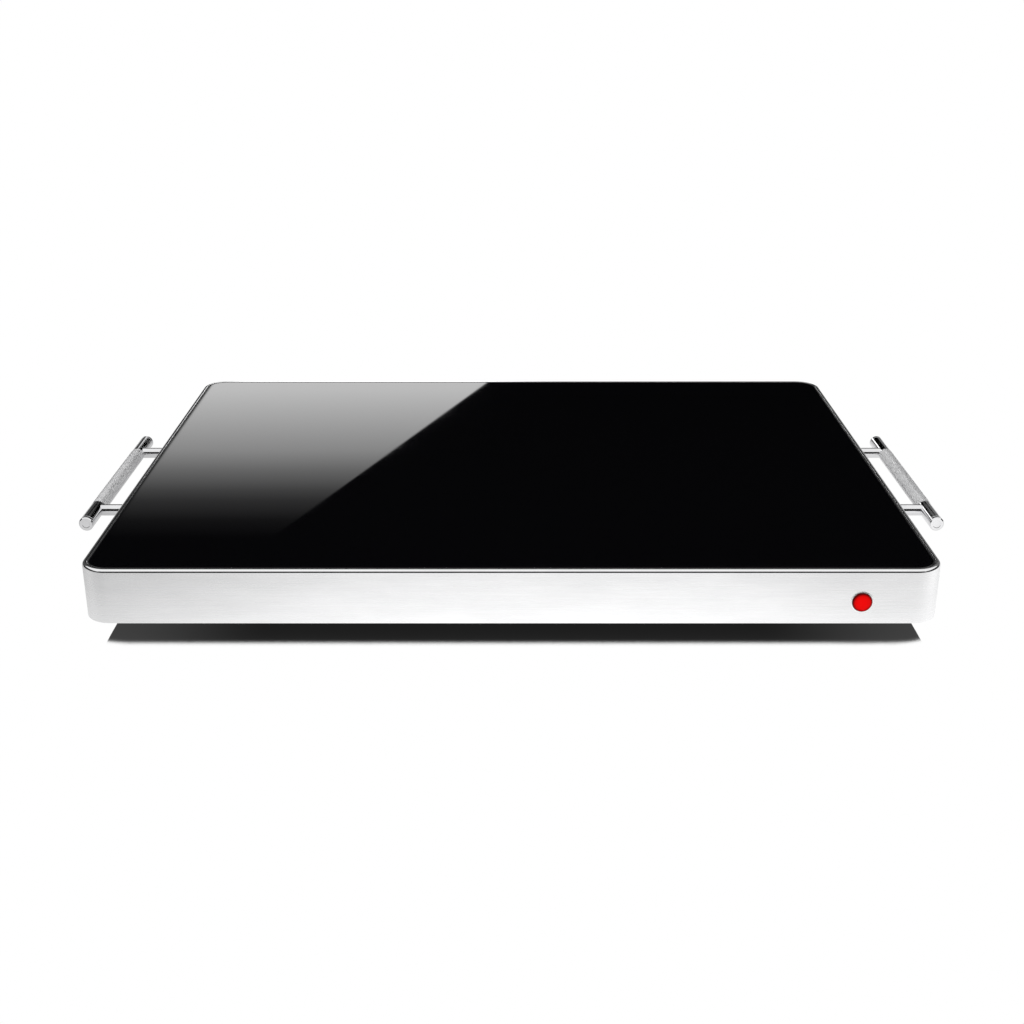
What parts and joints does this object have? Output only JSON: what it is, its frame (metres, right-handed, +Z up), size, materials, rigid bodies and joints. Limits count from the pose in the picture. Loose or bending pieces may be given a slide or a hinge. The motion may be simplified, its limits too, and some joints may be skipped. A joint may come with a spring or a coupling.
{
  "type": "electric food warmer tray",
  "caption": "Electric warming tray: flat black glass top in a brushed steel surround, T-bar handles at both sides, pilot lamp in front, heat knob and inlet behind.",
  "frame": {"origin": "middle of the object's box in plan, on the surface it stands on", "axes": "+Z up, +X to the right seen from the front, front face with the pilot lamp towards -Y"},
  "size_m": [0.5988, 0.4226, 0.0486],
  "materials": {
    "black_glass": "polished black glass ceramic",
    "brushed_steel": "fine horizontal brushing",
    "polished_steel": "polished stainless",
    "knurled_steel": "fine cross knurl",
    "silicone": "black silicone bead",
    "black_paint": "satin black enamel",
    "foot_rubber": "matt rubber",
    "zinc_steel": "zinc plated",
    "aluminium": "mill finish",
    "mica": "pressed mica",
    "fibre": "ceramic fibre",
    "resistance_alloy": "bare alloy",
    "knob_plastic": "moulded, fine grain",
    "phenolic": "moulded phenolic",
    "brass": "bare brass",
    "red_lens": "clear red moulding",
    "bulb_glass": "clear glass",
    "porcelain": "glazed",
    "red_wire": "silicone insulation",
    "white_wire": "silicone insulation",
    "green_wire": "silicone insulation"
  },
  "bodies": {
    "tray": {"glass_top": "black_glass", "steel_surround": "brushed_steel", "glass_seal": "silicone", "heat_spreader": "aluminium", "upper_mica_sheet": "mica", "lower_mica_sheet": "mica", "heating_ribbon": "resistance_alloy", "insulation_blanket": "fibre", "retaining_plate": "zinc_steel", "support_straps": "zinc_steel", "strap_studs": "zinc_steel", "strap_nuts": "zinc_steel", "bottom_pan": "black_paint", "pan_screws": "zinc_steel", "feet": "foot_rubber", "foot_screws": "zinc_steel", "foot_nuts": "zinc_steel", "thermostat_body": "phenolic", "thermostat_nut": "brass", "thermostat_tabs": "brass", "sensor_arm": "brass", "thermal_fuse": "porcelain", "fuse_clip": "zinc_steel", "fuse_clip_screws": "zinc_steel", "pilot_lamp_lens": "red_lens", "pilot_lamp_body": "phenolic", "neon_bulb": "bulb_glass", "lamp_push_ring": "zinc_steel", "inlet_housing": "knob_plastic", "inlet_pins": "polished_steel", "inlet_screws": "zinc_steel", "inlet_nuts": "zinc_steel", "terminal_block": "porcelain", "terminal_clamps": "brass", "terminal_screws": "zinc_steel", "block_screws": "zinc_steel", "earth_stud": "zinc_steel", "earth_nut": "zinc_steel", "live_lead": "red_wire", "neutral_lead": "white_wire", "earth_lead": "green_wire", "thermostat_lead": "red_wire", "element_leads": "white_wire", "lamp_leads": "white_wire", "left_handle_core": "polished_steel", "left_grip_sleeve": "knurled_steel", "left_end_tubes": "polished_steel", "left_end_caps": "polished_steel", "left_handle_posts": "polished_steel", "left_handle_washers": "zinc_steel", "left_handle_screws": "zinc_steel", "right_handle_core": "polished_steel", "right_grip_sleeve": "knurled_steel", "right_end_tubes": "polished_steel", "right_end_caps": "polished_steel", "right_handle_posts": "polished_steel", "right_handle_washers": "zinc_steel", "right_handle_screws": "zinc_steel"},
    "heat_knob": {"control_knob": "knob_plastic", "thermostat_shaft": "polished_steel"}
  },
  "joints": [
    {"name": "knob_turn", "type": "hinge", "parent": "tray", "child": "heat_knob", "pos_m": [0.15, 0.19725, 0.0306], "axis": [0, -1, 0], "range_deg": [0, 270]}
  ]
}
